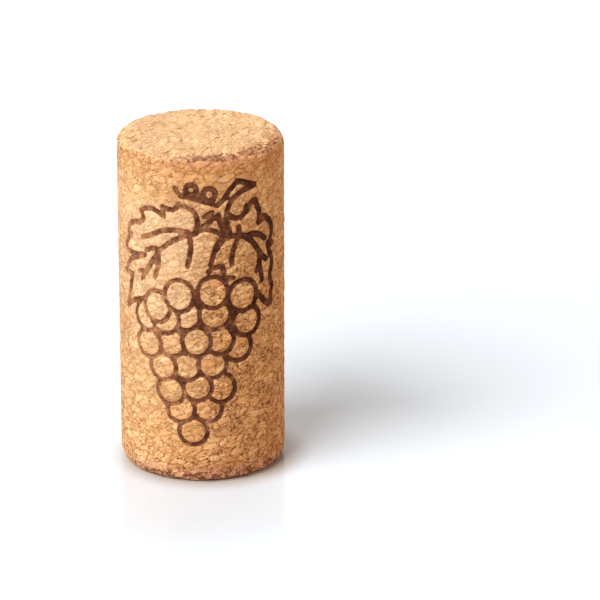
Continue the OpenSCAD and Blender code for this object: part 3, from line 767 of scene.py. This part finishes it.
# %% Pressed cork: fine bump and surface
FINE = 0.07                         # height of the fine grain, mm
CRACK_SUNK = 0.06                   # depth that an open seam adds, mm
fine = patches(tree, grit_at, 1 / 0.6, detail=4.0, rough=0.65, least=-FINE, most=FINE)
tilt = add_node(tree, "ShaderNodeMapRange", {
    "Value": along, "From Min": 0.1 * BARREL_R, "From Max": 0.8 * BARREL_R, "To Min": 0.18, "To Max": 0.10})
facet = add_node(tree, "ShaderNodeMath", {0: pattern["tilt"], 1: tilt}, operation="MULTIPLY")
sunk = add_node(tree, "ShaderNodeMath", {0: crack, 1: -CRACK_SUNK}, operation="MULTIPLY")
for part in (facet, sunk):
    fine = add_node(tree, "ShaderNodeMath", {0: fine, 1: part}, operation="ADD")
bump = add_node(tree, "ShaderNodeBump", {"Height": fine, "Distance": MM, "Strength": 1.0})
shader = add_node(tree, "ShaderNodeBsdfPrincipled", {
    "Base Color": finished, "Roughness": 0.85, "IOR": 1.4, "Specular IOR Level": 0.2, "Normal": bump})
add_node(tree, "ShaderNodeOutputMaterial", {"Surface": shader})

cork.data.materials.clear()
cork.data.materials.append(cork_material)
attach(cork, "root")
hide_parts("stopper")
print(cork.name, "rides on root and stands for stopper")

# %% [markdown]
# The cork stands on a white acrylic plate. It was cast against glass, which gives the eye an even white with
# a soft, faint reflection near the foot. Acrylic's index of refraction is 1.49. The camera and reflections
# see the plate's own pale colour, while it throws back a warmer light on the cork, and a paler one from a
# ring close by. The lamps are so wide that they leave hardly any shade under the rounded foot, so a soft one
# is part of the colour there. The plate is stage, so it isn't part of the object.

# %% Floor: the colours of a white acrylic plate
WARM, PALER = "#B0916A", "#ECDCCC"  # what the plate throws back on the cork, from afar and from the ring
SEEN, SHADE = "#D3DBE2", "#B2A99E"  # what is seen of it, in the open and at the foot
RING_OUT, RING_IN = 0.0155, 0.0125  # the ring is gone and is full this far from the middle, in metres
SHADE_OUT, SHADE_IN = 0.0155, 0.0105    # and the shade is gone and full this far from its own middle
SHADE_SHIFT = (0.0011, 0.0, 0.0)    # which lies a little away from the light
GLOSS_IN, GLOSS_OUT = 0.022, 0.038  # the gloss is full and gone this far from the middle
GLOSS = 0.35                        # the most that it has, as a specular level
floor_material = bpy.data.materials.new("white_acrylic")
floor_material.use_nodes = True
tree = floor_material.node_tree
tree.nodes.clear()
rays = add_node(tree, "ShaderNodeLightPath")
seen = add_node(tree, "ShaderNodeMath", {
    0: rays.outputs["Is Camera Ray"], 1: rays.outputs["Is Glossy Ray"]}, operation="MAXIMUM")
floor_place = add_node(tree, "ShaderNodeTexCoord").outputs["Object"]
distance = add_node(tree, "ShaderNodeVectorMath", {0: floor_place}, operation="LENGTH")
close = add_node(tree, "ShaderNodeMapRange", {
    "Value": distance, "From Min": RING_OUT, "From Max": RING_IN}, **EASED)
thrown_back = add_node(tree, "ShaderNodeMix", {0: close, 6: linear(WARM), 7: linear(PALER)}, **RGBA)
shade_place = add_node(tree, "ShaderNodeVectorMath", {0: floor_place, 1: SHADE_SHIFT}, operation="SUBTRACT")
shade_distance = add_node(tree, "ShaderNodeVectorMath", {0: shade_place}, operation="LENGTH")
at_foot = add_node(tree, "ShaderNodeMapRange", {
    "Value": shade_distance, "From Min": SHADE_OUT, "From Max": SHADE_IN}, **EASED)
plate = add_node(tree, "ShaderNodeMix", {0: at_foot, 6: linear(SEEN), 7: linear(SHADE)}, **RGBA)
floor_colour = add_node(tree, "ShaderNodeMix", {0: seen, 6: thrown_back, 7: plate}, **RGBA)
polish = add_node(tree, "ShaderNodeMapRange", {
    "Value": distance, "From Min": GLOSS_IN, "From Max": GLOSS_OUT, "To Min": GLOSS, "To Max": 0.0}, **EASED)
gloss = add_node(tree, "ShaderNodeBsdfPrincipled", {
    "Base Color": floor_colour, "Roughness": 0.15, "IOR": 1.49, "Specular IOR Level": polish})
add_node(tree, "ShaderNodeOutputMaterial", {"Surface": gloss})
print(floor_material.name, "has", len(tree.nodes), "nodes")

# %% Floor: the plate
FLOOR_HALF = 3.0                    # half its side, in metres, so that its edge is out of sight
CORNERS = ((-1, -1), (1, -1), (1, 1), (-1, 1))
floor_mesh = bpy.data.meshes.new("floor")
floor_mesh.from_pydata([(x * FLOOR_HALF, y * FLOOR_HALF, 0) for x, y in CORNERS], [], [(0, 1, 2, 3)])
floor_mesh.materials.append(floor_material)
floor = bpy.data.objects.new("floor", floor_mesh)
bpy.context.scene.collection.objects.link(floor)
print("floor", 2 * FLOOR_HALF, "m wide")

# %% [markdown]
# A small object is lit well by one large, soft light from the front left, as from a window, and by a weak one
# from behind that parts its top from the background. A third, low and pinkish, stands for what warm things
# beside the cork throw back. Sun lamps with a wide angle do this with few settings, and they light a cork of
# any size alike. The world gives soft fill light, and the camera and reflections see it as plain white.

# %% Light: three lamps
def sun(name, azimuth, elevation, strength, colour, spread):
    """A lamp far away. Azimuth 0 shines from the camera's side, and a negative one from its left."""
    lamp = bpy.data.lights.new(name, "SUN")
    lamp.energy, lamp.color, lamp.angle = strength, colour, math.radians(spread)
    light = bpy.data.objects.new(name, lamp)
    a, e = math.radians(azimuth), math.radians(elevation)
    source = Vector((math.sin(a) * math.cos(e), -math.cos(a) * math.cos(e), math.sin(e)))
    light.rotation_euler = source.to_track_quat("Z", "Y").to_euler()
    bpy.context.scene.collection.objects.link(light)

WHITE = (1.0, 1.0, 1.0)
sun("window_light", -47, 44, 4.4, WHITE, 45)
sun("back_light", 175, 62, 0.5, WHITE, 25)
sun("warm_bounce", 88, 5, 1.5, (1.0, 0.79, 0.70), 80)
print(len(bpy.data.lights), "lamps")

# %% Light: the world
FILL, FILL_COLOUR = 0.37, (1.0, 0.90, 0.82, 1.0)    # strength and colour of the light from all round
world = bpy.data.worlds.new("studio")
bpy.context.scene.world = world
world.use_nodes = True
tree = world.node_tree
tree.nodes.clear()
rays = add_node(tree, "ShaderNodeLightPath")
seen = add_node(tree, "ShaderNodeMath", {
    0: rays.outputs["Is Camera Ray"], 1: rays.outputs["Is Glossy Ray"]}, operation="MAXIMUM")
seen = add_node(tree, "ShaderNodeMath", {
    0: seen, 1: rays.outputs["Is Transmission Ray"]}, operation="MAXIMUM")
soft = add_node(tree, "ShaderNodeBackground", {"Color": FILL_COLOUR, "Strength": FILL})
white = add_node(tree, "ShaderNodeBackground", {"Color": (1.0, 1.0, 1.0, 1.0), "Strength": 1.0})
sky = add_node(tree, "ShaderNodeMixShader", {0: seen, 1: soft, 2: white})
add_node(tree, "ShaderNodeOutputWorld", {"Surface": sky})
print("the world lights with", FILL, "and shows white")

# %% [markdown]
# The camera looks slightly down, so that the top shows as a narrow ellipse. It stands far off with a long
# lens, because up close a cork's sides would lean together towards the foot.

# %% Camera
LOOK_DOWN = 20.53                   # degrees below the horizontal
camera_data = bpy.data.cameras.new("camera")
camera_data.lens = 240
camera_data.sensor_width = 36
camera_data.clip_end = 20
camera = bpy.data.objects.new("camera", camera_data)
camera.location = (0.01426, -0.5444, 0.2277)
camera.rotation_euler = (math.radians(90 - LOOK_DOWN), 0, 0)
bpy.context.scene.collection.objects.link(camera)
bpy.context.scene.camera = camera
bpy.context.scene.view_settings.view_transform = "Standard"
print("camera", round(camera.location.length, 2), "m from the middle of the foot")
